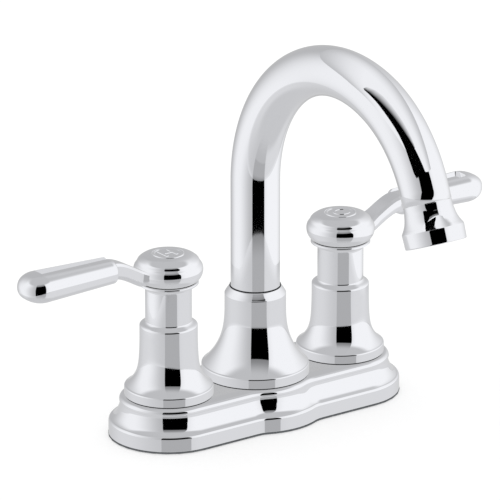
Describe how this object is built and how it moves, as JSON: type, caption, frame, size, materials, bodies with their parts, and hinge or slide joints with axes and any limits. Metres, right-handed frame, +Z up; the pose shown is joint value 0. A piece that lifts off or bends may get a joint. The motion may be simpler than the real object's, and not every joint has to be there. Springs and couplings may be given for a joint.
{
  "type": "centerset bathroom faucet",
  "caption": "Two-handle centerset lavatory faucet with a three-lobed deck plate, flared bonnets, swept lever handles and a high gooseneck spout.",
  "frame": {"origin": "middle of the deck plane: the underside of the gasket, midway between the two handle axes", "axes": "+Z up out of the deck; +X from the hot handle to the cold handle; the spout reaches out over the basin along -Y"},
  "size_m": [0.2692, 0.187, 0.247],
  "materials": {
    "polished_chrome": "mirror polished chrome plate on brass and zinc",
    "cast_brass": "raw cast and turned brass",
    "stainless_steel": "plain stainless steel",
    "black_rubber": "moulded black rubber",
    "grey_gasket": "soft grey moulded gasket",
    "white_acetal": "moulded white acetal",
    "white_ceramic": "lapped white alumina ceramic",
    "grey_nylon": "moulded dark grey nylon"
  },
  "bodies": {
    "faucet_body": {"cold_bonnet": "polished_chrome", "cold_cartridge_body": "cast_brass", "cold_cartridge_nut": "cast_brass", "cold_fixed_disc": "white_ceramic", "cold_guide_ring": "white_acetal", "cold_locknut": "cast_brass", "cold_mounting_nut": "grey_nylon", "cold_mounting_washer": "black_rubber", "cold_seat_seal": "black_rubber", "cold_shank": "cast_brass", "cold_stem_o_ring": "black_rubber", "deck_gasket": "grey_gasket", "escutcheon_plate": "polished_chrome", "hot_bonnet": "polished_chrome", "hot_cartridge_body": "cast_brass", "hot_cartridge_nut": "cast_brass", "hot_fixed_disc": "white_ceramic", "hot_guide_ring": "white_acetal", "hot_locknut": "cast_brass", "hot_mounting_nut": "grey_nylon", "hot_mounting_washer": "black_rubber", "hot_seat_seal": "black_rubber", "hot_shank": "cast_brass", "hot_stem_o_ring": "black_rubber", "spout_base": "polished_chrome", "spout_glide_washer": "white_acetal", "spout_locknut": "cast_brass", "spout_o_ring_lower": "black_rubber", "spout_o_ring_upper": "black_rubber", "spout_post": "cast_brass", "spout_retaining_nut": "cast_brass", "waterway_body": "cast_brass"},
    "hot_handle": {"hot_lever_handle": "polished_chrome", "hot_handle_screw": "stainless_steel", "hot_index_button": "polished_chrome", "hot_stem": "cast_brass", "hot_turning_disc": "white_ceramic"},
    "cold_handle": {"cold_lever_handle": "polished_chrome", "cold_handle_screw": "stainless_steel", "cold_index_button": "polished_chrome", "cold_stem": "cast_brass", "cold_turning_disc": "white_ceramic"},
    "spout": {"spout_tube": "polished_chrome", "spout_tip": "polished_chrome", "aerator_housing": "white_acetal", "aerator_washer": "black_rubber", "aerator_screen": "white_acetal", "spout_bushing": "white_acetal"}
  },
  "joints": [
    {"name": "hot_handle_turn", "type": "hinge", "parent": "faucet_body", "child": "hot_handle", "pos_m": [-0.0508, 0, 0.0773], "axis": [0, 0, 1], "range_deg": [0, 90]},
    {"name": "cold_handle_turn", "type": "hinge", "parent": "faucet_body", "child": "cold_handle", "pos_m": [0.0508, 0, 0.0773], "axis": [0, 0, 1], "range_deg": [-90, 0]},
    {"name": "spout_swivel", "type": "hinge", "parent": "faucet_body", "child": "spout", "pos_m": [0, 0, 0.0638], "axis": [0, 0, 1], "range_deg": [-60, 60]}
  ]
}
